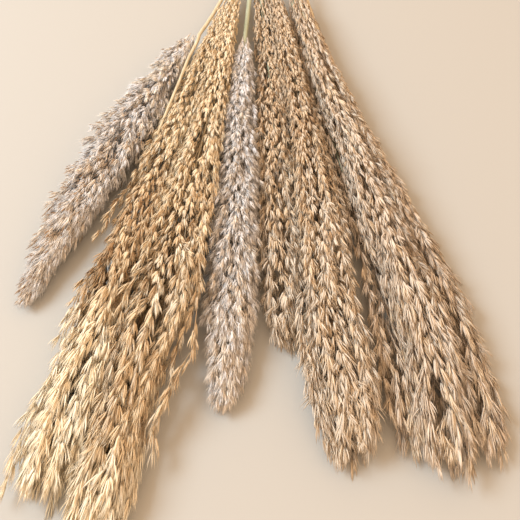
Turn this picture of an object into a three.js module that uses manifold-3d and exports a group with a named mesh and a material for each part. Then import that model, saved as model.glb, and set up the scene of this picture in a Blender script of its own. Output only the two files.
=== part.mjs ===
// A tied bundle of dried pampas grass, fanned out and laid flat on a surface.
//
// Nine cut stems pass through one band of twine and spread into a fan. Each stem carries one plume:
// a slim core with sprays of spikelets that stand out of it and sweep towards its tip.
//
// Millimetres, +Z up. The plumes point along -Y, the cut ends along +Y, and the bundle rests on Z = 0.
// Places are first given as [across, out, height], counted from the middle of the twine: across is +X,
// out is the distance towards the plume tips, and height is above the surface.
import * as THREE from "three";
import { mergeVertices } from "three/addons/utils/BufferGeometryUtils.js";
import Module from "manifold-3d";

const wasm = await Module();
wasm.setup();

// Stems
const stemRadiusAtTwine = 2.6;
const stemRadiusAtPlume = 2.1;
const stemRadiusAtCut = 2.9;
const stemSides = 8;
const stemRings = 11;
const stemPitch = 5.7; // sideways, inside the twine
const rowPitch = 5.1; // upwards, inside the twine
const straightAbove = 50; // a stem's stretch out of the twine before it turns towards its plume
const easeIn = 0.45; // share of the way from its plume on which a stem keeps to the plume's line
const straightBelow = 30; // the same stretch on the cut side, before the stems splay
const splayOver = 110; // the stretch on which they splay
const splay = 2.3; // how much wider the cut ends stand than the stems inside the twine
const sink = 0.62; // share of its height in the twine that a stem keeps at its cut end
const shortestCut = 104; // from the twine to the nearest cut end
const cutStep = 9; // the cut ends are at five different lengths, a step apart

// Twine
const twineDiameter = 2.4;
const twineTurns = 6;
const twineSides = 20;
const twineRoom = 0.7; // between the stems and the twine, because the stems start to spread inside it

// Gaps
const clearance = 0.35; // between pieces that touch
const margin = 0.65; // from a plume's corners to where it parts from its neighbours
const liftOff = 0.3; // from the lowest sprays to the surface

// Plumes
const plumeFlatness = 0.74; // half height over half width
const pressedDown = 1.2; // how far a core's underside reaches, in half heights
const coreShare = 0.45; // the core's size inside the plume
const coreTaper = 0.85; // how much of that it loses from taperFrom to coreEnd, shares of the plume's length
const taperFrom = 0.7;
const coreEnd = 0.92;
const coreSides = 8;
const coreRings = 10;
const goldenAngle = Math.PI * (3 - Math.sqrt(5));
const sprayStep = 7; // along the plume, from one spray to the next
const sprayLength = 60;
const sprayWidth = 5.2; // half width of a spray at its belly
const sprayBelly = 0.45; // how far along a spray its belly is
const broomFrom = 0.8; // from here on, sprays run to the plume's tip
const lastSpray = 0.9; // where along the plume the last spray starts
const fullPlume = 24; // half width of a plume whose sprays are as large as that

// Left to right, as seen from the tips. slot is the stem's place inside the twine, in pitches, with its
// row. bow is how far a third and two thirds of the plume lean across, and height is that of its middle.
// A plume starts at root of its widest, rises to it at swell, and falls to tipShare of it at the tip.
const plumes = [
  { name: "grey_left", slot: [-1.5, 1], base: [-63, 245, 12], tip: [-184, 537, 7], bow: [-2, -1], height: 18,
    halfWidth: 26, root: 0.15, rise: 0.8, swell: 0.6, tipShare: 0.1, colour: 0xb7a597, stem: 0xc9bb8e },
  { name: "gold_left", slot: [-1, 0], base: [-25, 180, 10], tip: [-155, 695, 9], bow: [5, -13], height: 19,
    halfWidth: 24, root: 0.15, rise: 0.7, swell: 0.85, tipShare: 0.8, colour: 0xc9a06a, stem: 0xcdb98a },
  { name: "gold_right", slot: [-0.5, 1], base: [-22, 175, 17], tip: [-117, 731, 9], bow: [14, 10], height: 23,
    halfWidth: 29, root: 0.15, rise: 1.1, swell: 0.65, tipShare: 0.7, colour: 0xc39a66, stem: 0xc9b888 },
  { name: "grey_centre", slot: [0, 2], base: [-14, 252, 15], tip: [-28, 629, 7], bow: [-4, 11], height: 18,
    halfWidth: 24, root: 0.15, rise: 0.6, swell: 0.75, tipShare: 0.2, colour: 0xb3a8a0, stem: 0xb4bf92 },
  { name: "tan_inner", slot: [0, 0], base: [2, 201, 9], tip: [19, 575, 6], bow: [4, 4], height: 13,
    halfWidth: 16, root: 0.25, rise: 0.6, swell: 0.8, tipShare: 0.3, colour: 0xb8966a, stem: 0xbcc193 },
  { name: "tan_middle", slot: [0.5, 1], base: [13, 185, 14], tip: [63, 671, 9], bow: [9, 7], height: 22,
    halfWidth: 28, root: 0.25, rise: 1.2, swell: 0.85, tipShare: 0.5, colour: 0xb89a78, stem: 0xc2bd92 },
  { name: "straw_inner", slot: [1, 0], base: [29, 178, 9], tip: [107, 666, 6], bow: [-8, 20], height: 12,
    halfWidth: 14, root: 0.35, rise: 0.8, swell: 0.8, tipShare: 0.3, colour: 0xb09878, stem: 0x9fa684 },
  { name: "straw_main", slot: [1, 2], base: [34, 170, 18], tip: [134, 681, 10], bow: [-22, 35], height: 26,
    halfWidth: 22, root: 0.25, rise: 0.8, swell: 0.9, tipShare: 0.6, colour: 0xb7a185, stem: 0xc0b68c },
  { name: "straw_outer", slot: [1.5, 1], base: [41, 172, 11], tip: [165, 664, 6], bow: [-18, 34], height: 14,
    halfWidth: 16, root: 0.25, rise: 0.8, swell: 0.9, tipShare: 0.4, colour: 0xb59f80, stem: 0xc4b98f },
];

// The same run of draws each time, from 0 up to 1.
let drawn = 20;
function draw(from, to) {
  drawn = (drawn * 48271) % 2147483647;
  return mix(from, to, drawn / 2147483647);
}

// A place given from the twine, in the part's own axes before it is centred.
function place([across, out, height]) {
  return new THREE.Vector3(across, -out, height);
}

function mix(from, to, share) {
  return from + (to - from) * share;
}

// The line that a plume grows along, from its first spikelets to its tip.
function plumeLine({ base, tip, bow, height }) {
  const arch = (8 * height - base[2] - tip[2]) / 6; // brings the middle of the line to that height
  const at = (share, aside) => place([mix(base[0], tip[0], share) + aside, mix(base[1], tip[1], share), arch]);
  return new THREE.CubicBezierCurve3(place(base), at(1 / 3, bow[0]), at(2 / 3, bow[1]), place(tip));
}

// Half the plume's width at a share of its length.
function halfWidthAt({ halfWidth, root, rise, swell, tipShare }, share) {
  const grown = mix(root, 1, (Math.min(share, swell) / swell) ** rise);
  const thinned = 1 - (1 - tipShare) * (Math.max(share - swell, 0) / (1 - swell)) ** 2;
  return halfWidth * grown * thinned;
}

// The directions square to a line: across it, and up from it.
function squareTo(line, share) {
  const along = line.getTangent(share);
  const across = new THREE.Vector3(0, 0, 1).cross(along).normalize();
  return { across, up: new THREE.Vector3().crossVectors(along, across) };
}

// A point beside a plume's line. angle 0 is across and a quarter turn is up; size is a share of the plume.
function pointIn(plume, share, angle, size) {
  const line = plumeLine(plume);
  const { across, up } = squareTo(line, share);
  const half = halfWidthAt(plume, share) * size;
  return line.getPoint(share)
    .addScaledVector(across, half * Math.cos(angle))
    .addScaledVector(up, half * plumeFlatness * Math.sin(angle));
}

// Where two neighbours part at a distance out: a place between their lines, and the way from left to right.
function partingAt(left, right, out) {
  const [a, b] = [left, right].map((plume) => {
    const share = (out - plume.base[1]) / (plume.tip[1] - plume.base[1]);
    const inside = Math.min(Math.max(share, 0), 1);
    return { point: plumeLine(plume).getPoint(inside), half: halfWidthAt(plume, inside) };
  });
  const way = b.point.clone().sub(a.point).setY(0).normalize();
  return { way, at: a.point.lerp(b.point, a.half / (a.half + b.half)) };
}

// Moves a point to its own plume's side of the partings from its neighbours, and above the surface.
function keepInside(plume, point, apart, lowest) {
  const index = plumes.indexOf(plume);
  const neighbours = plumes.filter((other, at) => other !== plume && Math.abs(at - index) <= 2);
  for (let round = 0; round < 3; round += 1) {
    for (const other of neighbours) {
      const onLeft = plumes.indexOf(other) < index;
      const { way, at } = partingAt(onLeft ? other : plume, onLeft ? plume : other, -point.y);
      const side = onLeft ? 1 : -1;
      const short = apart - side * point.clone().sub(at).dot(way.clone().setY(0));
      if (short > 0) point.addScaledVector(way, side * short);
    }
    point.z = Math.max(point.z, lowest);
  }
  return point;
}

// Moves every corner of a closed three.js geometry to where the given rule puts it, and makes it a solid.
function mould(geometry, rule) {
  geometry.deleteAttribute("normal");
  geometry.deleteAttribute("uv");
  const merged = mergeVertices(geometry, 1e-4);
  const corners = merged.attributes.position;
  for (let i = 0; i < corners.count; i += 1) {
    const moved = rule(new THREE.Vector3().fromBufferAttribute(corners, i));
    corners.setXYZ(i, moved.x, moved.y, moved.z);
  }
  return new wasm.Manifold(new wasm.Mesh({
    numProp: 3,
    vertProperties: corners.array,
    triVerts: new Uint32Array(merged.index.array),
  }));
}

// The outer skin of a fused solid, with its sealed hollows filled and loose scraps dropped.
function outerSkin(solid) {
  return solid.decompose().reduce((most, piece) => (piece.volume() > most.volume() ? piece : most));
}

function geometryOf(solid) {
  const mesh = solid.getMesh();
  const geometry = new THREE.BufferGeometry();
  geometry.setAttribute("position", new THREE.BufferAttribute(mesh.vertProperties, 3));
  geometry.setIndex(new THREE.BufferAttribute(mesh.triVerts, 1));
  geometry.computeVertexNormals();
  return geometry;
}

// The slim body of a plume. Its underside is pressed flat where it reaches the surface.
function plumeCore(plume) {
  const tube = new THREE.CylinderGeometry(1, 1, 1, coreSides, coreRings);
  return mould(tube, (corner) => {
    const share = coreEnd * (0.5 - corner.y);
    const angle = Math.atan2(corner.z, corner.x) + Math.PI / coreSides;
    const tapered = coreTaper * Math.max(share - taperFrom, 0) / (coreEnd - taperFrom);
    const reach = Math.hypot(corner.x, corner.z) * (1 - tapered);
    const point = pointIn(plume, share, angle, coreShare * reach);
    const isUnderside = Math.sin(angle) < -0.5;
    if (isUnderside) point.z = pointIn(plume, share, -Math.PI / 2, pressedDown * reach).z;
    return keepInside(plume, point, margin, 0);
  });
}

// One spray of spikelets: a three-sided spindle, rooted in the core, that widens and runs out to a point.
function spray(plume, start, angle, size) {
  const toTip = draw(0.95, 1) - start;
  const usual = Math.min((sprayLength * size) / plumeLine(plume).getLength(), toTip);
  const reach = start > broomFrom ? toTip : usual;
  const middle = start + reach * sprayBelly;
  const width = sprayWidth * Math.sqrt(halfWidthAt(plume, middle) / fullPlume);
  const root = pointIn(plume, start, angle, coreShare * 0.5);
  const belly = keepInside(plume, pointIn(plume, middle, angle, 0.8), width + margin, width / 2 + liftOff);
  const tip = keepInside(plume, pointIn(plume, start + reach, angle, draw(0.96, 1.1)), margin, liftOff);
  const along = tip.clone().sub(root).normalize();
  const outward = belly.clone().sub(pointIn(plume, middle, angle, 0));
  outward.addScaledVector(along, -outward.dot(along)).normalize();
  const sideways = new THREE.Vector3().crossVectors(outward, along);
  return mould(new THREE.SphereGeometry(1, 3, 2), (corner) => {
    if (corner.y > 0.5) return tip.clone();
    if (corner.y < -0.5) return root.clone();
    const turn = Math.atan2(corner.z, corner.x);
    const point = belly.clone()
      .addScaledVector(outward, -0.6 * width * Math.cos(turn))
      .addScaledVector(sideways, -width * Math.sin(turn));
    return keepInside(plume, point, margin, liftOff);
  });
}

// Sprays climb the plume by the golden angle, so that they lie even on all sides and out to the tip.
function plumeSolid(plume) {
  const parts = [plumeCore(plume)];
  const sprays = Math.round(plumeLine(plume).getLength() / sprayStep);
  for (let i = 0; i < sprays; i += 1) {
    const start = lastSpray * ((i + 0.5) / sprays) ** 0.75; // closer together towards the tip
    const size = mix(0.6, 1, Math.min(start * 2.5, 1)) * draw(0.85, 1.15);
    parts.push(spray(plume, start, i * goldenAngle + draw(-0.2, 0.2), size));
  }
  return outerSkin(wasm.Manifold.union(parts));
}

// Where a stem passes through the twine.
function slotPlace({ slot: [pitches, row] }) {
  const lowestRow = twineDiameter + twineRoom + stemRadiusAtTwine;
  return [pitches * stemPitch, 0, lowestRow + row * rowPitch];
}

// The line of a stem, from its cut end, through the twine, to just short of its plume.
function stemLine(plume, index) {
  const [across, , height] = slotPlace(plume);
  const backwards = plumeLine(plume).getTangent(0).negate();
  const end = place(plume.base).addScaledVector(backwards, clearance);
  const cutOut = -shortestCut - cutStep * ((index * 4) % 5);
  const cutSide = [cutOut, cutOut * 0.6, -straightBelow, 0].map((out) => {
    const share = Math.max(-out - straightBelow, 0) / splayOver;
    return place([across * mix(1, splay, share), out, height * mix(1, sink, share)]);
  });
  const path = new THREE.CurvePath();
  path.add(new THREE.CubicBezierCurve3(...cutSide));
  path.add(new THREE.CubicBezierCurve3(
    place([across, 0, height]),
    place([across, straightAbove, height]),
    end.clone().addScaledVector(backwards, easeIn * end.length()),
    end,
  ));
  return path;
}

function stemSolid(plume, index) {
  const line = stemLine(plume, index);
  const cutLength = line.curves[0].getLength();
  const length = line.getLength();
  const tube = new THREE.CylinderGeometry(1, 1, 1, stemSides, stemRings);
  return mould(tube, (corner) => {
    const share = 0.5 - corner.y;
    const run = share * length;
    const radius = run < cutLength
      ? mix(stemRadiusAtCut, stemRadiusAtTwine, run / cutLength)
      : mix(stemRadiusAtTwine, stemRadiusAtPlume, (run - cutLength) / (length - cutLength));
    const { across, up } = squareTo(line, share);
    const turn = Math.atan2(corner.z, corner.x);
    const reach = Math.hypot(corner.x, corner.z) * radius;
    return line.getPoint(share)
      .addScaledVector(across, reach * Math.cos(turn))
      .addScaledVector(up, reach * Math.sin(turn));
  });
}

// A point on the outline that wraps all the stems inside the twine, a distance off their skins.
function wrapPoint(turn, off) {
  const direction = new THREE.Vector2(Math.cos(turn), Math.sin(turn));
  const furthest = plumes
    .map((plume) => slotPlace(plume))
    .map(([across, , height]) => new THREE.Vector2(across, height))
    .reduce((most, middle) => (middle.dot(direction) > most.dot(direction) ? middle : most));
  return furthest.clone().addScaledVector(direction, stemRadiusAtTwine + off);
}

// The twine: turns laid side by side round the stems, as one band with a groove between turns.
function twineSolid() {
  const length = twineTurns * twineDiameter;
  const section = [[length / 2, twineRoom]];
  for (let turn = 0; turn < twineTurns; turn += 1) {
    const start = length / 2 - turn * twineDiameter;
    section.push([start - 0.02, twineRoom + twineDiameter * 0.55]);
    section.push([start - twineDiameter * 0.3, twineRoom + twineDiameter]);
    section.push([start - twineDiameter * 0.7, twineRoom + twineDiameter]);
  }
  section.push([-length / 2, twineRoom + twineDiameter * 0.55], [-length / 2, twineRoom]);
  section.push(section[0]);
  const points = section.map(([along, off]) => new THREE.Vector2(off, along));
  const ring = new THREE.LatheGeometry(points, twineSides);
  return mould(ring, (corner) => {
    const turn = Math.atan2(corner.z, corner.x);
    const around = wrapPoint(turn, Math.hypot(corner.x, corner.z));
    return place([around.x, corner.y, around.y]);
  });
}

function addPiece(group, name, solid, colour, roughness) {
  const material = new THREE.MeshStandardMaterial({ color: colour, roughness, metalness: 0 });
  const mesh = new THREE.Mesh(geometryOf(solid), material);
  mesh.name = name;
  group.add(mesh);
}

const bundle = new THREE.Group();
plumes.forEach((plume, index) => {
  addPiece(bundle, `plume_${plume.name}`, plumeSolid(plume), plume.colour, 0.9);
  addPiece(bundle, `stem_${plume.name}`, stemSolid(plume, index), plume.stem, 0.6);
});
addPiece(bundle, "twine", twineSolid(), 0x9c7b4f, 0.95);

// The origin is under the middle of the whole bundle, on the surface it lies on.
const middle = new THREE.Box3().setFromObject(bundle).getCenter(new THREE.Vector3());
const part = new THREE.Group();
part.add(bundle);
bundle.position.set(-middle.x, -middle.y, 0);

export default part;
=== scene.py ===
import math

import bmesh
import bpy
import numpy as np
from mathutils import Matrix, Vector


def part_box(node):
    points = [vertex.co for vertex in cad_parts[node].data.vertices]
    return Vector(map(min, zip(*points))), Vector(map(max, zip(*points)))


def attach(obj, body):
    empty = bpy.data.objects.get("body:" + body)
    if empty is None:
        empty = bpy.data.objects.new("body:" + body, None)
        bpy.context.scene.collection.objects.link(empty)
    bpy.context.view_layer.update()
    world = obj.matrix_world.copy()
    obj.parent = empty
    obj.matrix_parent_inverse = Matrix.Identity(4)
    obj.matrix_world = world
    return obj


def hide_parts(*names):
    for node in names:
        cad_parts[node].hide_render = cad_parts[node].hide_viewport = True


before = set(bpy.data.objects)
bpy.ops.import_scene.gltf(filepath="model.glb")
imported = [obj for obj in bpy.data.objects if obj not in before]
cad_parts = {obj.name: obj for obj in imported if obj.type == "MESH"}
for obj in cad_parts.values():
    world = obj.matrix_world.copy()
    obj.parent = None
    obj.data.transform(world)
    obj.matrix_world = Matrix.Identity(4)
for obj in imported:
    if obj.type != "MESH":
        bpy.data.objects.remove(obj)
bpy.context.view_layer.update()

# A tied bundle of dried pampas grass, fanned out on a pale surface. The plumes point along -Y.
# A plume is grown in millimetres, counted from the middle of the twine, and toFrame brings it to metres.
mm = 0.001
twineLow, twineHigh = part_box("twine")
twineAt = np.array([(twineLow.x + twineHigh.x) / 2, (twineLow.y + twineHigh.y) / 2, 0])
goldenAngle = math.pi * (3 - math.sqrt(5))
up = np.array([0.0, 0.0, 1.0])

# Left to right, as seen from the tips, with the lines and widths of the solids. slot is a culm's place in the
# twine. left and right fill out or thin that side: shares of the length, and the factors there. warm and
# shade take the place of the habit's. strays are single strands: their start, reach and angle, and their size
# at the root and at the skin. early starts the strands before the base. beside keeps the culm out at one side.
plumes = [
    dict(name="grey_left", slot=(-1.5, 1), base=(-63, 245, 12), tip=(-184, 537, 7), bow=(-2, -1), height=18,
         halfWidth=26, root=0.15, rise=0.8, swell=0.6, tipShare=0.1, finish="grey", culm="straw", beside=1.5,
         right=((0, 0.2, 0.4, 0.6, 0.8, 1), (1, 1.5, 1.45, 0.95, 0.5, 0.35)),
         left=((0, 0.2, 0.45, 0.65, 1), (1, 1.3, 1.5, 1.2, 0.7)), flecks=0.2,
         warm=(0.55, 0.35, 0.5), shade=((0, 0.3, 0.55, 0.9), (1.4, 1.1, 0.66, 0.66))),
    dict(name="gold_left", slot=(-1, 0), base=(-25, 180, 10), tip=(-155, 695, 9), bow=(5, -13), height=19,
         halfWidth=24, root=0.15, rise=0.7, swell=0.85, tipShare=0.8, finish="gold", culm="straw",
         shade=((0, 0.4, 0.5, 0.65, 0.82), (0.85, 0.7, 0.3, 0.27, 1.45)),
         left=((0.6, 0.75, 0.85, 1), (1, 0.82, 0.78, 0.85)),
         strays=((0.49, 55, 176, 0.9, 1.3), (0.63, 70, 172, 0.85, 1.05), (0.8, 90, 176, 0.9, 1.15))),
    dict(name="gold_right", slot=(-0.5, 1), base=(-22, 175, 17), tip=(-117, 731, 9), bow=(14, 10), height=23,
         halfWidth=29, root=0.15, rise=1.1, swell=0.65, tipShare=0.7, finish="gold", culm="straw",
         shade=((0, 0.4, 0.5, 0.65, 0.82, 0.97), (0.85, 0.75, 0.53, 0.46, 0.44, 1.3)),
         right=((0.3, 0.45, 0.64, 0.74, 0.82, 0.9), (1, 1.35, 1.35, 0.7, 0.55, 0.8)),
         strays=((0.66, 90, 12, 0.95, 1.5), (0.72, 75, 10, 1.0, 1.45))),
    dict(name="grey_centre", slot=(0, 2), base=(-14, 252, 15), tip=(-28, 629, 7), bow=(-4, 11), height=18,
         halfWidth=24, root=0.15, rise=0.6, swell=0.75, tipShare=0.2, finish="grey", culm="green",
         left=((0.3, 0.45, 0.7, 0.85, 1), (1, 1.25, 1.22, 1, 0.8)),
         right=((0.1, 0.3, 0.7, 0.85, 1), (1, 1.12, 1, 0.85, 0.6))),
    dict(name="tan_inner", slot=(0, 0), base=(2, 201, 9), tip=(19, 575, 6), bow=(4, 4), height=13,
         halfWidth=16, root=0.6, rise=0.6, swell=0.8, tipShare=0.3, finish="tan", culm="green", early=0.1,
         left=((0.2, 0.5, 0.9), (1, 1.15, 1))),
    dict(name="tan_middle", slot=(0.5, 1), base=(13, 185, 14), tip=(63, 671, 9), bow=(9, 7), height=22,
         halfWidth=28, root=0.25, rise=1.2, swell=0.85, tipShare=0.5, finish="tan", culm="straw",
         left=((0.5, 0.65, 0.8, 0.95), (1, 1.15, 1.1, 0.7))),
    dict(name="straw_inner", slot=(1, 0), base=(29, 178, 9), tip=(107, 666, 6), bow=(-8, 20), height=12,
         halfWidth=14, root=0.35, rise=0.8, swell=0.8, tipShare=0.3, finish="straw", culm="green"),
    dict(name="straw_main", slot=(1, 2), base=(34, 170, 18), tip=(134, 681, 10), bow=(-22, 35), height=26,
         halfWidth=22, root=0.25, rise=0.8, swell=0.9, tipShare=0.6, finish="straw", culm="straw"),
    dict(name="straw_outer", slot=(1.5, 1), base=(41, 172, 11), tip=(165, 664, 6), bow=(-18, 34), height=14,
         halfWidth=16, root=0.25, rise=0.8, swell=0.9, tipShare=0.4, finish="straw", culm="straw",
         right=((0, 0.1, 0.35, 0.5, 0.75, 1), (0.5, 0.15, 0.1, 0.5, 1, 0.8))),
]
plumeFlatness = 0.74  # half height over half width
# How plumes keep clear of each other and of the surface, in millimetres.
apart = dict(passes=3, neighbours=2, gap=1.5, lowest=2.0)


def mix(low, high, share):
    return low + (high - low) * share


def unit(ways):
    return ways / np.maximum(np.linalg.norm(ways, axis=-1, keepdims=True), 1e-9)


def square(ways, to):
    return unit(ways - to * np.sum(ways * to, axis=-1, keepdims=True))


def toFrame(points):
    return points * mm + twineAt


def bezier(points, share):
    a, b, c, d = points
    t = np.asarray(share, float)[..., None]
    return a * (1 - t) ** 3 + 3 * b * t * (1 - t) ** 2 + 3 * c * t ** 2 * (1 - t) + d * t ** 3


def controlPoints(plume):
    base, tip = np.array(plume["base"], float), np.array(plume["tip"], float)
    arch = (8 * plume["height"] - base[2] - tip[2]) / 6  # brings the middle of the line to that height
    inner = [mix(base, tip, share) for share in (1 / 3, 2 / 3)]
    for point, aside in zip(inner, plume["bow"]):
        point[0] += aside
        point[2] = arch
    return np.array([base, *inner, tip]) * [1, -1, 1]


def lineAt(plume, share):
    return bezier(controlPoints(plume), share)


def wayAt(plume, share):
    a, b, c, d = controlPoints(plume)
    t = np.asarray(share, float)[..., None]
    return unit((b - a) * (1 - t) ** 2 + 2 * (c - b) * t * (1 - t) + (d - c) * t ** 2)


def halfWidthAt(plume, share):
    share = np.clip(share, 0, 1)
    swell = plume["swell"]
    grown = mix(plume["root"], 1, (np.minimum(share, swell) / swell) ** plume["rise"])
    thinned = 1 - (1 - plume["tipShare"]) * (np.maximum(share - swell, 0) / (1 - swell)) ** 2
    return plume["halfWidth"] * grown * thinned


# A point beside a plume's line. angle 0 is across and a quarter turn is up; size is a share of the plume.
def pointIn(plume, share, angle, size):
    along = wayAt(plume, share)
    across = unit(np.cross(up, along))
    upwards = np.cross(along, across)
    for side, way in (("right", 1), ("left", -1)):
        if side in plume:
            size = size * mix(1, np.interp(share, *plume[side]), np.clip(0.5 + way * np.cos(angle), 0, 1))
    half = (halfWidthAt(plume, share) * size)[..., None]
    aside = across * half * np.cos(angle)[..., None]
    return lineAt(plume, share) + aside + upwards * half * plumeFlatness * np.sin(angle)[..., None]


# Moves points to their own plume's side of where it parts from its neighbours, and above the surface.
def keepInside(plume, points):
    index = plumes.index(plume)
    points = points.copy()
    for _ in range(apart["passes"]):
        for at, other in enumerate(plumes):
            if other is plume or abs(at - index) > apart["neighbours"]:
                continue
            pair = (other, plume) if at < index else (plume, other)
            out = -points[:, 1]
            middles, halves = [], []
            for one in pair:
                share = np.clip((out - one["base"][1]) / (one["tip"][1] - one["base"][1]), 0, 1)
                middles.append(lineAt(one, share))
                halves.append(halfWidthAt(one, share)[:, None])
            way = unit((middles[1] - middles[0]) * [1, 0, 1])
            parting = mix(middles[0], middles[1], halves[0] / (halves[0] + halves[1]))
            side = 1 if at < index else -1
            short = apart["gap"] - side * np.sum((points - parting) * way, axis=1)
            points += way * (side * np.maximum(short, 0))[:, None]
        points[:, 2] = np.maximum(points[:, 2], apart["lowest"])
    return points


def startFresh():
    if bpy.context.mode != "OBJECT":
        bpy.ops.object.mode_set(mode="OBJECT")
    bpy.ops.object.select_all(action="DESELECT")


def selectWhere(test):
    mesh = bmesh.from_edit_mesh(bpy.context.object.data)
    for vert in mesh.verts:
        vert.select = bool(test(vert.co))
    mesh.select_flush_mode()
    bmesh.update_edit_mesh(bpy.context.object.data)


def selectEdges(test):
    bpy.ops.mesh.select_mode(type="EDGE")
    bpy.ops.mesh.select_all(action="DESELECT")
    mesh = bmesh.from_edit_mesh(bpy.context.object.data)
    for edge in mesh.edges:
        edge.select_set(bool(test(edge.verts[0].co, edge.verts[1].co)))
    bmesh.update_edit_mesh(bpy.context.object.data)


# Takes the points and triangles of the object being modelled, and removes it.
def takeShape():
    bpy.ops.mesh.select_all(action="SELECT")
    bpy.ops.mesh.quads_convert_to_tris()
    bpy.ops.mesh.normals_make_consistent(inside=False)
    bpy.ops.object.mode_set(mode="OBJECT")
    piece = bpy.context.object
    points = np.array([vert.co for vert in piece.data.vertices])
    faces = np.array([face.vertices[:] for face in piece.data.polygons])
    mesh = piece.data
    bpy.data.objects.remove(piece)
    bpy.data.meshes.remove(mesh)
    return points, faces


# Small shapes are modelled once and copied. Here are their forms, and how their copies turn, bend and shade.
husk = dict(lowRing=0.22, highRing=0.6, shoulder=0.78, keel=0.34, near=0.01, turn=0.35, bend=0.35, pale=0.9,
            paling=1.5)
hair = dict(outside=0.45, stray=0.2, length=(0.8, 1.35), radius=(0.7, 1.3), bend=0.3, shade=(0.6, 0.95))
thread = dict(cuts=5, radius=(0.45, 0.12), shade=0.35, fade=(0.5, 0.9))


# A pointed husk of length 1 along Z, with its keel along +Y.
def modelHusk():
    startFresh()
    low, high, near = husk["lowRing"], husk["highRing"], husk["near"]
    bpy.ops.mesh.primitive_cylinder_add(vertices=3, depth=high - low, end_fill_type="TRIFAN",
                                        location=(0, 0, (low + high) / 2))
    bpy.ops.object.transform_apply(location=True)
    bpy.ops.object.mode_set(mode="EDIT")
    selectWhere(lambda at: at.z > high - near and at.xy.length < near)
    bpy.ops.transform.translate(value=(0, 0, 1 - high))
    selectWhere(lambda at: at.z < low + near and at.xy.length < near)
    bpy.ops.transform.translate(value=(0, 0, -low))
    selectWhere(lambda at: abs(at.z - high) < near)
    bpy.ops.transform.resize(value=(husk["shoulder"], husk["shoulder"], 1))
    bpy.ops.mesh.select_all(action="SELECT")
    bpy.ops.transform.resize(value=(1, husk["keel"], 1), center_override=(0, 0, 0))
    return takeShape()


# A fine hair of length 1 along Z.
def modelHair():
    startFresh()
    bpy.ops.mesh.primitive_cone_add(vertices=3, radius1=1, radius2=0, depth=1, location=(0, 0, 0.5))
    bpy.ops.object.transform_apply(location=True)
    bpy.ops.object.mode_set(mode="EDIT")
    return takeShape()


# A thread of length 1 along Z, that can bend at its rings.
def modelThread():
    startFresh()
    bpy.ops.mesh.primitive_cylinder_add(vertices=3, radius=1, depth=1, location=(0, 0, 0.5))
    bpy.ops.object.transform_apply(location=True)
    bpy.ops.object.mode_set(mode="EDIT")
    selectEdges(lambda one, other: abs(one.z - other.z) > 0.5)
    bpy.ops.mesh.subdivide(number_cuts=thread["cuts"])
    bpy.ops.mesh.select_mode(type="VERT")
    return takeShape()


print("small shapes")
huskShape = modelHusk()
hairShape = modelHair()
threadShape = modelThread()
print("husk", len(huskShape[1]), "hair", len(hairShape[1]), "thread", len(threadShape[1]), "triangles each")


clearance = 0.15  # the least height of a copy above the surface, in millimetres
mapWidth = 0.003  # how wide a copy is on the map, which has the tone across and root to tip upwards


# Copies of a shape, one for each root: where their points lie, their triangles, and their places on the map.
def copies(shape, root, along, outward, length, halfWidth, bend, tone):
    points, faces = shape
    aside = np.cross(outward, along)
    x, y, z = (points[None, :, axis, None] for axis in range(3))
    wide = halfWidth[:, None, None]
    placed = (root[:, None] + aside[:, None] * x * wide + outward[:, None] * y * wide
              + along[:, None] * z * length[:, None, None] + bend[:, None] * z ** 2)
    sunk = np.maximum(clearance - placed[:, :, 2].min(axis=1), 0)
    placed[:, :, 2] += sunk[:, None]
    first = np.arange(len(root))[:, None, None] * len(points)
    across = tone[:, None] + mapWidth * points[None, :, 0]
    onMap = np.stack(np.broadcast_arrays(across, points[None, :, 2]), axis=-1)
    return placed.reshape(-1, 3), (faces[None] + first).reshape(-1, 3), onMap.reshape(-1, 2)


def addMesh(name, points, faces, onMap, material):
    mesh = bpy.data.meshes.new(name)
    mesh.vertices.add(len(points))
    mesh.vertices.foreach_set("co", toFrame(points).astype(np.float32).ravel())
    mesh.loops.add(faces.size)
    mesh.loops.foreach_set("vertex_index", faces.astype(np.int32).ravel())
    mesh.polygons.add(len(faces))
    mesh.polygons.foreach_set("loop_start", np.arange(0, faces.size, 3, dtype=np.int32))
    mesh.update(calc_edges=True)
    layer = mesh.uv_layers.new(name="OFBake")
    layer.uv.foreach_set("vector", onMap[faces.ravel()].astype(np.float32).ravel())
    mesh.materials.append(material)
    mesh.shade_smooth()
    piece = bpy.data.objects.new(name, mesh)
    bpy.context.scene.collection.objects.link(piece)
    return piece


# Shades of husk, from the deepest to the palest, for the cool and the warm husks of each plume and for the
# twine's fibres: red, green and blue as seen in even light. root is what they are multiplied by at the root,
# partly a browner base and partly painted shade where the husks crowd together.
huskShades = dict(
    gold=dict(cool=[(170, 139, 104), (233, 223, 205), (253, 248, 233)],
              warm=[(164, 128, 89), (231, 212, 183), (253, 242, 219)], root=(0.86, 0.77, 0.68)),
    grey=dict(cool=[(196, 183, 173), (235, 234, 236), (243, 243, 247)],
              warm=[(190, 166, 144), (238, 229, 220), (247, 241, 233)], root=(0.95, 0.91, 0.87),
              fleck=(170, 140, 111)),
    tan=dict(cool=[(170, 142, 113), (225, 214, 200), (228, 219, 208)],
             warm=[(164, 130, 96), (221, 202, 177), (225, 211, 193)], root=(0.86, 0.77, 0.68)),
    straw=dict(cool=[(172, 145, 117), (226, 214, 201), (230, 221, 210)],
               warm=[(164, 134, 104), (221, 204, 182), (228, 215, 197)], root=(0.86, 0.77, 0.68)),
    twine=dict(cool=[(136, 100, 62), (172, 136, 92), (206, 172, 124)],
               warm=[(140, 104, 66), (176, 140, 96), (206, 172, 124)], root=(0.86, 0.77, 0.68)),
)
toneStops = (0.02, 0.25, 0.48, 0.52, 0.75, 0.98)  # where the cool and then the warm shades are on the map
fleckStop = 0.99
rootFade = 0.55  # how far up a husk its root's darkening reaches, browner base and painted shade together
dull = 0.2  # the strength of every finish's reflections


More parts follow.
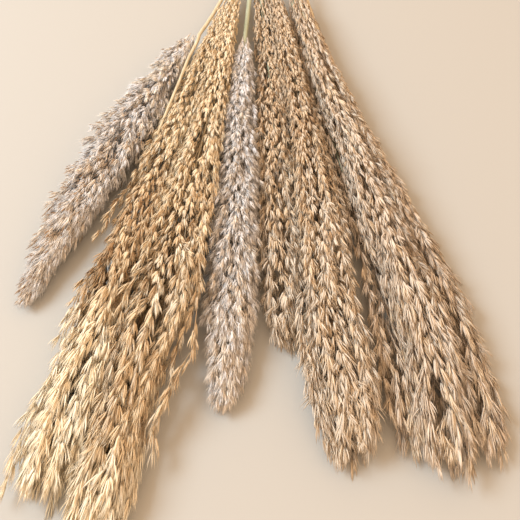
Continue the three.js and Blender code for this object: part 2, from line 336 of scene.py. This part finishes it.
def linear(colour):
    return [(c / 255 / 12.92 if c <= 10 else ((c / 255 + 0.055) / 1.055) ** 2.4) for c in colour] + [1]


def newMaterial(name, roughness, sheen=0.0):
    material = bpy.data.materials.new(name)
    material.use_nodes = True
    shader = material.node_tree.nodes["Principled BSDF"]
    shader.inputs["Roughness"].default_value = roughness
    shader.inputs["Sheen Weight"].default_value = sheen
    shader.inputs["Specular IOR Level"].default_value = dull
    return material, material.node_tree, shader


def huskMaterial(finish):
    material, tree, shader = newMaterial(f"growth_{finish}", 0.75, 0.05)
    shades = huskShades[finish]
    onMap = tree.nodes.new("ShaderNodeUVMap")
    onMap.uv_map = "OFBake"
    parts = tree.nodes.new("ShaderNodeSeparateXYZ")
    tree.links.new(onMap.outputs[0], parts.inputs[0])
    ramp = tree.nodes.new("ShaderNodeValToRGB")
    stops = ramp.color_ramp.elements
    for place, colour in zip(toneStops[2:], (shades["cool"] + shades["warm"])[2:]):
        stops.new(place).color = linear(colour)
    stops[0].position, stops[0].color = toneStops[0], linear(shades["cool"][0])
    stops[-1].position, stops[-1].color = toneStops[-1], linear(shades["warm"][2])
    stops.new(toneStops[1]).color = linear(shades["cool"][1])
    if "fleck" in shades:
        stops.new(fleckStop).color = linear(shades["fleck"])
    tree.links.new(parts.outputs[0], ramp.inputs[0])
    fade = tree.nodes.new("ShaderNodeValToRGB")  # darker at the root, browner base and painted shade together, paler towards the tip
    fade.color_ramp.elements[0].color = (*shades["root"], 1)
    fade.color_ramp.elements[1].color = (1, 1, 1, 1)
    fade.color_ramp.elements[1].position = rootFade
    tree.links.new(parts.outputs[1], fade.inputs[0])
    product = tree.nodes.new("ShaderNodeMix")
    product.data_type = "RGBA"
    product.blend_type = "MULTIPLY"
    product.inputs["Factor"].default_value = 1
    tree.links.new(ramp.outputs[0], product.inputs[6])
    tree.links.new(fade.outputs[0], product.inputs[7])
    tree.links.new(product.outputs[2], shader.inputs["Base Color"])
    return material


huskFinishes = {finish: huskMaterial(finish) for finish in huskShades}


# How strands of husks grow, in millimetres, degrees and shares. A strand leaves the middle of its plume at
# rootSize, is out at its skin by rising, and runs on towards the tip. Its husks stand in tufts, pitch apart,
# with perTuft husks each. spread, length, halfWidth and warm are those at the stations. shade is shares of
# the plume and the shades there, and each gold plume has its own: partly the plume's own tone and partly
# painted light, paler at the tips where they lie thin and lit. Husks deeper than hidden are left off.
habits = dict(
    gold=dict(layers=2.3, early=1.1, reach=(90, 185), rootSize=0.18, rising=0.42, arch=1, skin=(0.5, 0.97),
              flare=0.07, drift=0.35, sway=0.08, pitch=5.5, perTuft=6, thick=1.6, spread=(14, 23, 15), fan=9,
              strandWidth=7.6, length=(5.5, 10, 17.5), halfWidth=(0.8, 1.1, 0.84), warm=(1.0, 0.75, 0.5),
              noise=0.1, hairs=1, hairRadius=0.1, hidden=0.3),
    tan=dict(layers=2.75, early=1.15, reach=(75, 160), rootSize=0.18, rising=0.42, arch=1, skin=(0.5, 0.97),
             flare=0.06, drift=0.3, sway=0.09, pitch=5.5, perTuft=6, thick=1.5, spread=(16, 28, 22), fan=9,
             strandWidth=7.4, length=(5.5, 10, 15), halfWidth=(0.8, 0.98, 0.82), warm=(1.0, 0.6, 0.3),
             shade=((0, 0.35, 0.6, 0.9), (0.85, 0.46, 0.6, 0.62)), noise=0.09, hairs=1, hairRadius=0.09,
             hidden=0.2),
    straw=dict(layers=2.25, early=1.15, reach=(80, 155), rootSize=0.18, rising=0.42, arch=1, skin=(0.5, 0.97),
               flare=0.04, drift=0.4, sway=0.1, pitch=7, perTuft=8, thick=1.2, spread=(12, 24, 17), fan=8,
               strandWidth=8.5, length=(5.5, 12, 17), halfWidth=(0.85, 0.9, 0.75), warm=(0.45, 0.2, 0.4),
               shade=((0, 0.4, 0.6, 0.9), (0.44, 0.74, 0.5, 0.6)), noise=0.09, hairs=1, hairRadius=0.1,
               hidden=0.2),
    grey=dict(layers=2.45, early=1, reach=(34, 62), rootSize=0.1, rising=1, arch=0, skin=(0.65, 1.0),
              flare=0, drift=0.1, sway=0.04, pitch=5, perTuft=8, thick=1.3, spread=(20, 28, 27), fan=11,
              strandWidth=7.4, length=(8, 11, 12), halfWidth=(0.66, 0.76, 0.68), warm=(0.1, 0.3, 0.55),
              shade=((0, 0.3, 0.55, 0.9), (1.0, 0.86, 0.66, 0.7)), noise=0.06, hairs=2, hairRadius=0.12,
              hidden=0.32),
)
stations = (0, 0.55, 0.9)
# Where the plume is narrower than fullWidth its strands are shorter. widest is how far out a strand may run
# for each millimetre that it grows.
strand = dict(lastStart=0.93, ahead=0.1, fullWidth=24, shortest=0.5, shortening=0.7, baseSize=0.6,
              baseRun=0.12, toTip=(1.01, 0.94), tipNoise=(-0.03, 0.01), turnNoise=0.3, widest=0.3,
              swayRate=7, flaring=4, step=0.01, lift=0.3)
ranks = np.radians([-15, 195, 80])  # a strand's tufts stand to one side, to the other and outwards in turn


def growStrands(plume, habit, random):
    length = np.linalg.norm(np.subtract(plume["tip"], plume["base"]))
    shares = np.linspace(0, 1, 50)
    skin = np.mean(halfWidthAt(plume, shares)) * math.pi * (1 + plumeFlatness) * length
    usual = np.mean(habit["reach"])
    count = int(habit["layers"] * skin / (habit["strandWidth"] * usual * (1 - habit["rising"] / 2)))
    order = np.arange(count)
    start = mix(-plume.get("early", 0), strand["lastStart"], ((order + 0.5) / count) ** habit["early"])
    width = halfWidthAt(plume, start + strand["ahead"]) / strand["fullWidth"]
    small = np.clip(width, strand["shortest"], 1) ** strand["shortening"]
    root = np.interp(start, [0, strand["baseRun"]], [strand["baseSize"], habit["rootSize"]])
    skinSize = random.uniform(*habit["skin"], count)
    toTip = mix(*strand["toTip"], skinSize) + random.uniform(*strand["tipNoise"], count) - start
    reach = np.minimum(random.uniform(*habit["reach"], count) * small / length, toTip)
    furthest = root + strand["widest"] * reach * length / halfWidthAt(plume, start + reach)
    skinSize = np.minimum(skinSize, furthest)
    angle = order * goldenAngle + random.uniform(-strand["turnNoise"], strand["turnNoise"], count)
    drift = random.normal(0, habit["drift"], count)
    if "strays" in plume:
        strays = np.array(plume["strays"], float)
        start = np.append(start, strays[:, 0])
        reach = np.append(reach, strays[:, 1] / length)
        angle = np.append(angle, np.radians(strays[:, 2]))
        root = np.append(root, strays[:, 3])
        skinSize = np.append(skinSize, strays[:, 4])
        drift = np.append(drift, np.zeros(len(strays)))
    return dict(start=start, reach=reach, length=length, root=root, angle=angle, skin=skinSize, drift=drift,
                phase=random.uniform(0, 2 * math.pi, len(start)), tone=random.uniform(0, 1, len(start)))


def onStrand(plume, habit, strands, which, run):
    rise = np.clip(run / habit["rising"], 0, 1)
    rise = mix(rise, rise * rise * (3 - 2 * rise), habit["arch"])
    flare = habit["flare"] * run ** strand["flaring"]
    size = mix(strands["root"][which], strands["skin"][which], rise) + flare
    sway = habit["sway"] * np.sin(strands["phase"][which] + strand["swayRate"] * run)
    angle = strands["angle"][which] + strands["drift"][which] * run + sway
    share = strands["start"][which] + strands["reach"][which] * run
    return keepInside(plume, pointIn(plume, share, angle, size)), size


def strandAxes(plume, habit, strands, which, run):
    here, size = onStrand(plume, habit, strands, which, run)
    before, _ = onStrand(plume, habit, strands, which, run - strand["step"])
    after, _ = onStrand(plume, habit, strands, which, run + strand["step"])
    along = unit(after - before)
    share = strands["start"][which] + strands["reach"][which] * run
    outward = square(here - lineAt(plume, share) + strand["lift"] * up, along)
    return here, along, outward, size, share


# How tufts vary along their strand and husks in their tuft. The names that end in Along are shares of the
# strand and factors there, fromBase is along the plume, and deepPaintedShade is from its middle to its skin:
# it darkens the husks that lie deep inside the plume, as painted shade.
vary = dict(fewest=4, first=0.1, stagger=0.6, turn=0.35, lean=(0.6, 1.4), leastLean=0.02, size=(0.85, 1.15),
            leanAlong=((0, 0.7, 1), (1, 1, 0.7)), sizeAlong=((0, 0.3, 0.8, 1), (0.7, 1, 1, 0.8)),
            thickAlong=((0, 0.25, 0.8, 1), (0.4, 0.9, 1, 0.4)), fromBase=((0, 0.4), (0.4, 1)),
            deepPaintedShade=((0.3, 0.8), (0.7, 1)), inTuft=(-0.3, 0.5), nearest=0.02, outwards=(0.1, 1),
            strandWarmth=0.5, warmNoise=0.2, strandShade=0.2, huskNoise=0.4, shades=(0.02, 0.98))
# The small brown ones at a plume's skin, mostly along its left. Their shade is past the palest, at fleckStop.
fleck = dict(across=((-0.8, 0.5), (1, 0.1)), along=((0.1, 0.5), (0.3, 1)), out=0.55, length=0.5, shade=1.035)


# Each husk of a plume: where it is rooted, which way it points and how large it is.
def growHusks(plume, habit, strands, random):
    own = {part: plume.get(part, habit.get(part)) for part in ("warm", "shade")}
    tufts = np.maximum(strands["reach"] * strands["length"] / habit["pitch"], vary["fewest"]).astype(int)
    ofStrand = np.repeat(np.arange(len(tufts)), tufts)
    count = len(ofStrand)
    nth = np.arange(count) - np.repeat(np.cumsum(tufts) - tufts, tufts)
    start = mix(vary["first"], 1, (nth + random.uniform(0, vary["stagger"], count)) / tufts[ofStrand])
    roll = ranks[nth % len(ranks)] + random.normal(0, vary["turn"], count)
    spread = random.uniform(*vary["lean"], count) * np.interp(start, *vary["leanAlong"])
    grown = np.interp(start, *vary["sizeAlong"]) * random.uniform(*vary["size"], count)
    tuftShare = strands["start"][ofStrand] + strands["reach"][ofStrand] * start
    spread *= np.radians(np.interp(tuftShare, stations, habit["spread"]))
    tone = strands["tone"][ofStrand] - 0.5
    warmth = np.interp(tuftShare, stations, own["warm"]) + vary["strandWarmth"] * tone
    warm = warmth + random.normal(0, vary["warmNoise"], count) > 0.5
    # shade along the plume: its own tone, with painted light in the paler tips
    shade = np.interp(tuftShare, *own["shade"])
    shade += vary["strandShade"] * tone + random.normal(0, habit["noise"], count)

    tuft = np.repeat(np.arange(count), habit["perTuft"])
    which = ofStrand[tuft]
    count = len(tuft)
    shift = random.uniform(*vary["inTuft"], count) * habit["pitch"]
    run = np.clip(start[tuft] + shift / (strands["reach"] * strands["length"])[which], vary["nearest"], 1)
    root, along, outward, size, share = strandAxes(plume, habit, strands, which, run)
    aside = np.cross(outward, along)
    turned = roll[tuft] + random.normal(0, vary["turn"], count)
    leaning = aside * np.cos(turned)[:, None] + outward * np.sin(turned)[:, None]
    thick = habit["thick"] * np.interp(run, *vary["thickAlong"])
    thick *= np.interp(share, *vary["fromBase"])
    root = root + leaning * (thick * np.sqrt(random.uniform(*vary["outwards"], count)))[:, None]
    lean = spread[tuft] + np.radians(habit["fan"]) * random.normal(0, 1, count)
    lean = np.maximum(lean, vary["leastLean"])
    way = along * np.cos(lean)[:, None] + leaning * np.sin(lean)[:, None]
    grown = grown[tuft] * random.uniform(*vary["size"], count)
    length = np.interp(share, stations, habit["length"]) * grown
    halfWidth = np.interp(share, stations, habit["halfWidth"]) * random.uniform(*vary["size"], count)
    shade = shade[tuft] + random.normal(0, vary["huskNoise"] * habit["noise"], count)
    # painted shade: husks deep inside the plume are made darker
    shade = np.clip(shade * np.interp(size, *vary["deepPaintedShade"]), *vary["shades"])
    warm = warm[tuft]
    if "flecks" in plume:
        likely = np.interp(leaning[:, 0], *fleck["across"]) * np.interp(share, *fleck["along"])
        flecked = random.uniform(0, 1, count) < plume["flecks"] * likely
        root = root + way * (flecked * fleck["out"] * length)[:, None]
        length = np.where(flecked, fleck["length"] * length, length)
        shade = np.where(flecked, fleck["shade"], shade)
        warm = warm | flecked
    husks = dict(root=root, along=along, outward=outward, way=way, length=length, halfWidth=halfWidth,
                 warm=warm, shade=shade, size=size, share=share)
    seen = size > habit["hidden"]
    return {part: values[seen] for part, values in husks.items()}


def toneOf(shade, warm):
    return mix(toneStops[0], toneStops[2], shade) + 0.5 * warm


def addHusks(husks, random):
    keel = square(husks["outward"] + random.normal(0, husk["turn"], husks["way"].shape), husks["way"])
    bend = (husks["along"] - husks["way"]) * (husk["bend"] * husks["length"])[:, None]
    points, faces, onMap = copies(huskShape, husks["root"], husks["way"], keel, husks["length"],
                                  husks["halfWidth"], bend, toneOf(husks["shade"], husks["warm"]))
    pale = np.repeat(husk["pale"] * np.clip(husks["share"], 0, 1) ** husk["paling"], len(huskShape[0]))
    onMap[:, 1] = mix(pale, 1, onMap[:, 1])  # the root's darkening, partly painted shade, eases towards the plume's tip
    return points, faces, onMap


# Silky hairs stand out between the husks.
def addHairs(habit, husks, random):
    seen = np.flatnonzero(husks["size"] > hair["outside"])
    which = np.repeat(seen, habit["hairs"])
    count = len(which)
    way = unit(husks["way"][which] + random.normal(0, hair["stray"], (count, 3)))
    side = square(random.normal(0, 1, (count, 3)), way)
    length = husks["length"][which] * random.uniform(*hair["length"], count)
    radius = habit["hairRadius"] * random.uniform(*hair["radius"], count)
    bend = (husks["along"][which] - way) * (hair["bend"] * length)[:, None]
    tone = toneOf(random.uniform(*hair["shade"], count), husks["warm"][which])
    return copies(hairShape, husks["root"][which], way, side, length, radius, bend, tone)


# The thread that each strand's husks grow from.
def addThreads(plume, habit, strands, random):
    count = len(strands["start"])
    points, faces = threadShape
    turn = np.arctan2(points[:, 1], points[:, 0])
    reach = np.hypot(points[:, 0], points[:, 1])
    which = np.repeat(np.arange(count), len(points))
    run = np.tile(points[:, 2], count)
    centre, along, outward, _, _ = strandAxes(plume, habit, strands, which, run)
    aside = np.cross(outward, along)
    radius = (np.tile(reach, count) * mix(*thread["radius"], run))[:, None]
    turn = np.tile(turn, count)[:, None]
    placed = centre + radius * (aside * np.cos(turn) + outward * np.sin(turn))
    first = np.arange(count)[:, None, None] * len(points)
    tone = toneOf(thread["shade"], random.uniform(0, 1, count) < habit["warm"][1])
    across = np.repeat(tone, len(points)) + mapWidth * np.cos(turn[:, 0])
    # threads near the plume's middle take the root's darkening, painted shade inside the plume
    onMap = np.stack([across, mix(*thread["fade"], run)], axis=-1)
    return placed, (faces[None] + first).reshape(-1, 3), onMap


mostTriangles = 190000


# One piece for each kind of growth, or two where it has too many triangles for one.
def plantPiece(plume, kind, parts, replaces=False):
    points, faces, onMap = parts
    pieces = math.ceil(len(faces) / mostTriangles)
    step = math.ceil(len(faces) / pieces / perCopy[kind]) * perCopy[kind]
    for nth in range(pieces):
        some = faces[nth * step:(nth + 1) * step]
        low, high = some.min(), some.max() + 1
        name = f"plume_{plume['name']}_{kind}" + (f"_{nth + 1}" if pieces > 1 else "")
        piece = addMesh(name, points[low:high], some - low, onMap[low:high], huskFinishes[plume["finish"]])
        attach(piece, "root")
        if replaces and nth == 0:
            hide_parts(f"plume_{plume['name']}")
    print(plume["name"], kind, len(faces), "triangles in", pieces)


perCopy = dict(husks=len(huskShape[1]), hairs=len(hairShape[1]), threads=len(threadShape[1]))
for number, plume in enumerate(plumes):
    random = np.random.default_rng(40 + number)
    habit = habits[plume["finish"]]
    strands = growStrands(plume, habit, random)
    husks = growHusks(plume, habit, strands, random)
    plantPiece(plume, "husks", addHusks(husks, random), replaces=True)
    plantPiece(plume, "hairs", addHairs(habit, husks, random))
    plantPiece(plume, "threads", addThreads(plume, habit, strands, random))

# The culms, in millimetres: radii, rings along each stretch, swollen nodes, places in the twine, the splay of
# their cut ends, and those that run beside their plume.
culm = dict(atTwine=2.6, atPlume=2.1, atCut=2.9, atTip=0.5, sides=14, rings=90, nodeStep=78, nodeSwell=1.16,
            nodeHalf=1.3, pitch=5.7, row=5.1, lowest=5.7, straightAbove=50, easeIn=0.45, straightBelow=30,
            splayOver=110, splay=2.3, sink=0.62, shortestCut=104, cutStep=9, cutLengths=5, intoPlume=0.5,
            cutPoints=14, midPoints=22, plumePoints=24, rim=0.35, hollow=0.8, sharp=40, besideRun=0.42,
            besideAngle=0.35, besideSize=((0, 0.1, 0.2, 0.42), (1.2, 0.92, 1, 1.05)), besideRadii=(1.7, 1.1))
evenly = ((0, 1), (1, 1))  # neither filled out nor thinned


# The line of a culm from its cut end, through the twine and on as its plume's axis, and its radius there.
def culmLine(plume, index):
    across = plume["slot"][0] * culm["pitch"]
    height = culm["lowest"] + plume["slot"][1] * culm["row"]
    cutOut = -culm["shortestCut"] - culm["cutStep"] * ((index * 4) % culm["cutLengths"])
    cutSide = []
    for out in (cutOut, cutOut * 0.6, -culm["straightBelow"], 0):
        share = max(-out - culm["straightBelow"], 0) / culm["splayOver"]
        cutSide.append((across * mix(1, culm["splay"], share), -out, height * mix(1, culm["sink"], share)))
    beside = "beside" in plume
    share = np.linspace(0, culm["besideRun" if beside else "intoPlume"], culm["plumePoints"])
    outside = plume.get("beside", 0) * np.interp(share, *culm["besideSize"])
    angle = np.full(len(share), culm["besideAngle"])
    inPlume = pointIn(dict(plume, left=evenly, right=evenly), share, angle, outside)
    base = inPlume[0]
    backwards = -wayAt(plume, 0.0)
    handle = base + backwards * culm["easeIn"] * np.linalg.norm(base)
    plumeSide = [(across, 0, height), (across, -culm["straightAbove"], height), handle, base]
    parts = [bezier(np.array(side, float), np.linspace(0, 1, count))
             for side, count in ((cutSide, culm["cutPoints"]), (plumeSide, culm["midPoints"]))] + [inPlume]
    atPlume, atTip = culm["besideRadii"] if beside else (culm["atPlume"], culm["atTip"])
    radii = [np.linspace(culm["atCut"], culm["atTwine"], culm["cutPoints"]),
             np.linspace(culm["atTwine"], atPlume, culm["midPoints"]),
             np.linspace(atPlume, atTip, culm["plumePoints"])]
    points = np.concatenate([parts[0], parts[1][1:], parts[2][1:]])
    return points, np.concatenate([radii[0], radii[1][1:], radii[2][1:]])


def addCurve(name, points, radii):
    data = bpy.data.curves.new(name, "CURVE")
    data.dimensions = "3D"
    spline = data.splines.new("POLY")
    spline.points.add(len(points) - 1)
    for point, place, radius in zip(spline.points, toFrame(points), radii):
        point.co = (*place, 1)
        point.radius = radius
    curve = bpy.data.objects.new(name, data)
    bpy.context.scene.collection.objects.link(curve)
    return curve


# A straight culm along X with its swollen nodes, bent along its line by a Curve modifier.
def modelCulm(plume, index):
    points, radii = culmLine(plume, index)
    steps = np.linalg.norm(np.diff(points, axis=0), axis=1)
    length = steps.sum() * mm
    bare = steps[:culm["cutPoints"] + culm["midPoints"] - 2].sum() * mm
    startFresh()
    bpy.ops.mesh.primitive_cylinder_add(vertices=culm["sides"], radius=mm, depth=length,
                                        rotation=(0, math.pi / 2, 0), location=(length / 2, 0, 0))
    piece = bpy.context.object
    piece.name = f"culm_{plume['name']}"
    bpy.ops.object.transform_apply(location=True, rotation=True)
    bpy.ops.object.mode_set(mode="EDIT")
    selectEdges(lambda one, other: abs(one.x - other.x) > length / 2)
    bpy.ops.mesh.subdivide(number_cuts=culm["rings"])
    bpy.ops.mesh.select_mode(type="VERT")
    half = culm["nodeHalf"] * mm
    nodes = np.arange(0.3 + 0.1 * (index % 4), bare / (culm["nodeStep"] * mm)) * culm["nodeStep"] * mm
    for node in nodes:
        for at in (node - half, node, node + half):
            bpy.ops.mesh.select_all(action="SELECT")
            bpy.ops.mesh.bisect(plane_co=(at, 0, 0), plane_no=(1, 0, 0))
        selectWhere(lambda vert: abs(vert.x - node) < 0.1 * half)
        swell = culm["nodeSwell"]
        bpy.ops.transform.resize(value=(1, swell, swell), center_override=(node, 0, 0))
    selectWhere(lambda vert: vert.x < 1e-6)
    bpy.ops.mesh.inset(thickness=culm["rim"] * mm)
    bpy.ops.transform.translate(value=(culm["hollow"] * mm, 0, 0))
    bpy.ops.object.mode_set(mode="OBJECT")
    curve = addCurve("bend", points, radii)
    bend = piece.modifiers.new("bend", "CURVE")
    bend.object = curve
    bpy.context.view_layer.update()
    bpy.ops.object.modifier_apply(modifier=bend.name)
    bpy.data.objects.remove(curve)
    bpy.ops.object.shade_smooth_by_angle(angle=math.radians(culm["sharp"]))
    piece.data.materials.append(culmFinishes[plume["culm"]])
    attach(piece, "root")
    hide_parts(f"stem_{plume['name']}")


culmShades = dict(straw=[(198, 184, 156), (224, 213, 190)], green=[(158, 167, 143), (190, 197, 178)])
culmFinish = dict(roughness=0.42, streaks=(900, 14, 900), detail=4, stops=(0.36, 0.62), bump=0.0001,
                  strength=0.5)


def culmMaterial(name):
    material, tree, shader = newMaterial(f"culm_{name}", culmFinish["roughness"])
    coordinates = tree.nodes.new("ShaderNodeTexCoord")
    mapping = tree.nodes.new("ShaderNodeMapping")
    mapping.inputs["Scale"].default_value = culmFinish["streaks"]
    streaks = tree.nodes.new("ShaderNodeTexNoise")
    streaks.inputs["Scale"].default_value = 1
    streaks.inputs["Detail"].default_value = culmFinish["detail"]
    ramp = tree.nodes.new("ShaderNodeValToRGB")
    for element, place, colour in zip(ramp.color_ramp.elements, culmFinish["stops"], culmShades[name]):
        element.position, element.color = place, linear(colour)
    bump = tree.nodes.new("ShaderNodeBump")
    bump.inputs["Distance"].default_value = culmFinish["bump"]
    bump.inputs["Strength"].default_value = culmFinish["strength"]
    tree.links.new(coordinates.outputs["Object"], mapping.inputs["Vector"])
    tree.links.new(mapping.outputs[0], streaks.inputs["Vector"])
    tree.links.new(streaks.outputs[0], ramp.inputs[0])
    tree.links.new(streaks.outputs[0], bump.inputs["Height"])
    tree.links.new(ramp.outputs[0], shader.inputs["Base Color"])
    tree.links.new(bump.outputs[0], shader.inputs["Normal"])
    return material


print("culms")
culmFinishes = {name: culmMaterial(name) for name in culmShades}
for index, plume in enumerate(plumes):
    modelCulm(plume, index)

# The twine: the plies of a cord wound round the culms, and its loose fibres, in millimetres.
twine = dict(diameter=2.4, turns=5, room=0.7, plies=3, plyRadius=0.62, plyOffset=0.56, plyTwist=6.5, step=0.9,
             wrapPoints=721, fibres=420, fibreLength=(2.5, 5), fibreRadius=0.05, fibreLift=(0.15, 0.9),
             fibreStray=0.25, fibreRoot=0.4, fibreBend=0.25, fibreTones=(0.1, 0.9))
twineFinish = dict(roughness=0.85, sheen=0.2, grain=900, detail=3, stops=(0.35, 0.65), bump=0.0002,
                     shades=[(136, 100, 62), (206, 172, 124)])


# The outline round all the culms at the middle of the cord, as points an even turn apart, and the way out.
def wrapOutline():
    slots = np.array([(plume["slot"][0] * culm["pitch"], culm["lowest"] + plume["slot"][1] * culm["row"])
                      for plume in plumes])
    turn = np.linspace(-math.pi / 2, 1.5 * math.pi, twine["wrapPoints"])
    way = np.stack([np.cos(turn), np.sin(turn)], axis=1)
    furthest = slots[np.argmax(way @ slots.T, axis=1)]
    return furthest + way * (culm["atTwine"] + twine["room"] + twine["diameter"] / 2), way


def modelTwine():
    outline, way = wrapOutline()
    run = np.concatenate([[0], np.cumsum(np.linalg.norm(np.diff(outline, axis=0), axis=1))])
    once = run[-1]
    length = once * twine["turns"]
    at = np.arange(0, length, twine["step"])
    x, z = (np.interp(at % once, run, outline[:, axis]) for axis in (0, 1))
    outX, outZ = (np.interp(at % once, run, way[:, axis]) for axis in (0, 1))
    normal = unit(np.stack([outX, 0 * at, outZ], axis=1))
    y = (at / length - 0.5) * twine["turns"] * twine["diameter"]
    middle = np.stack([x, y, z], axis=1)
    pieces = []
    for ply in range(twine["plies"]):
        turn = (2 * math.pi * (at / twine["plyTwist"] + ply / twine["plies"]))[:, None]
        path = middle + twine["plyOffset"] * (normal * np.cos(turn) + np.array([0, 1, 0]) * np.sin(turn))
        curve = addCurve(f"ply_{ply}", path, np.full(len(path), twine["plyRadius"]))
        curve.data.bevel_depth = mm
        curve.data.bevel_resolution = 1
        curve.data.use_fill_caps = True
        pieces.append(curve)
    startFresh()
    for piece in pieces:
        piece.select_set(True)
    bpy.context.view_layer.objects.active = pieces[0]
    bpy.ops.object.convert(target="MESH")
    bpy.ops.object.join()
    piece = bpy.context.object
    piece.name = "twine_cord"
    bpy.ops.object.mode_set(mode="EDIT")
    bpy.ops.mesh.select_all(action="SELECT")
    bpy.ops.mesh.remove_doubles(threshold=1e-6)
    bpy.ops.mesh.normals_make_consistent(inside=False)
    bpy.ops.object.mode_set(mode="OBJECT")
    bpy.ops.object.shade_smooth()
    piece.data.materials.append(twineCoat)
    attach(piece, "root")
    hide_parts("twine")
    return middle, normal


def twineMaterial():
    material, tree, shader = newMaterial("twine_jute", twineFinish["roughness"], twineFinish["sheen"])
    coordinates = tree.nodes.new("ShaderNodeTexCoord")
    noise = tree.nodes.new("ShaderNodeTexNoise")
    noise.inputs["Scale"].default_value = twineFinish["grain"]
    noise.inputs["Detail"].default_value = twineFinish["detail"]
    ramp = tree.nodes.new("ShaderNodeValToRGB")
    for element, place, colour in zip(ramp.color_ramp.elements, twineFinish["stops"], twineFinish["shades"]):
        element.position, element.color = place, linear(colour)
    bump = tree.nodes.new("ShaderNodeBump")
    bump.inputs["Distance"].default_value = twineFinish["bump"]
    tree.links.new(coordinates.outputs["Object"], noise.inputs["Vector"])
    tree.links.new(noise.outputs[0], ramp.inputs[0])
    tree.links.new(noise.outputs[0], bump.inputs["Height"])
    tree.links.new(ramp.outputs[0], shader.inputs["Base Color"])
    tree.links.new(bump.outputs[0], shader.inputs["Normal"])
    return material


def addTwineFibres(middle, normal):
    random = np.random.default_rng(5)
    count = twine["fibres"]
    which = random.integers(1, len(middle) - 1, count)
    along = unit(middle[which + 1] - middle[which - 1])
    out = normal[which]
    way = unit(along * random.choice([-1, 1], count)[:, None]
               + out * random.uniform(*twine["fibreLift"], (count, 1))
               + random.normal(0, twine["fibreStray"], (count, 3)))
    length = random.uniform(*twine["fibreLength"], count)
    root = middle[which] + out * twine["diameter"] * twine["fibreRoot"]
    side = square(random.normal(0, 1, (count, 3)), way)
    parts = copies(hairShape, root, way, side, length, np.full(count, twine["fibreRadius"]),
                   -out * (twine["fibreBend"] * length)[:, None], random.uniform(*twine["fibreTones"], count))
    piece = addMesh("twine_fibres", *parts, huskFinishes["twine"])
    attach(piece, "root")


print("twine")
twineCoat = twineMaterial()
addTwineFibres(*modelTwine())

print("surface, light and camera")
surface = dict(size=6, colour=(182, 184, 185), roughness=0.9)
startFresh()
bpy.ops.mesh.primitive_plane_add(size=surface["size"], location=(0, 0, 0))
floor = bpy.context.object
floor.name = "surface"
floorMaterial, _, floorShader = newMaterial("surface_paint", surface["roughness"])
floorShader.inputs["Base Color"].default_value = linear(surface["colour"])
floor.data.materials.append(floorMaterial)

# The room's light is warm, and the wall seen past the surface is a plain pale one.
room = dict(light=(1.0, 0.68, 0.42, 1), strength=1.32, wall=(238, 229, 216))
world = bpy.data.worlds.new("studio")
world.use_nodes = True
roomTree = world.node_tree
roomLight = roomTree.nodes["Background"]
roomLight.inputs["Color"].default_value = room["light"]
roomLight.inputs["Strength"].default_value = room["strength"]
wall = roomTree.nodes.new("ShaderNodeBackground")
wall.inputs["Color"].default_value = linear(room["wall"])
seen = roomTree.nodes.new("ShaderNodeLightPath")
either = roomTree.nodes.new("ShaderNodeMixShader")
roomTree.links.new(seen.outputs["Is Camera Ray"], either.inputs[0])
roomTree.links.new(roomLight.outputs[0], either.inputs[1])
roomTree.links.new(wall.outputs[0], either.inputs[2])
roomTree.links.new(either.outputs[0], roomTree.nodes["World Output"].inputs["Surface"])
bpy.context.scene.world = world

key = dict(at=(-1.45, -0.05, 1.45), size=1.0, power=37, colour=(0.86, 1.02, 1.09))
bpy.ops.object.light_add(type="AREA", location=key["at"])
lamp = bpy.context.object
lamp.name = "key"
lamp.data.size = key["size"]
lamp.data.energy = key["power"]
lamp.data.color = key["colour"]
lamp.rotation_euler = (-lamp.location).to_track_quat("-Z", "Y").to_euler()

view = dict(at=(twineAt[0], -0.5686, 0.600), tilt=32, across=33)
bpy.ops.object.camera_add(location=view["at"], rotation=(math.radians(view["tilt"]), 0, 0))
camera = bpy.context.object
camera.data.angle = math.radians(view["across"])
bpy.context.scene.camera = camera
bpy.context.scene.view_settings.view_transform = "Standard"
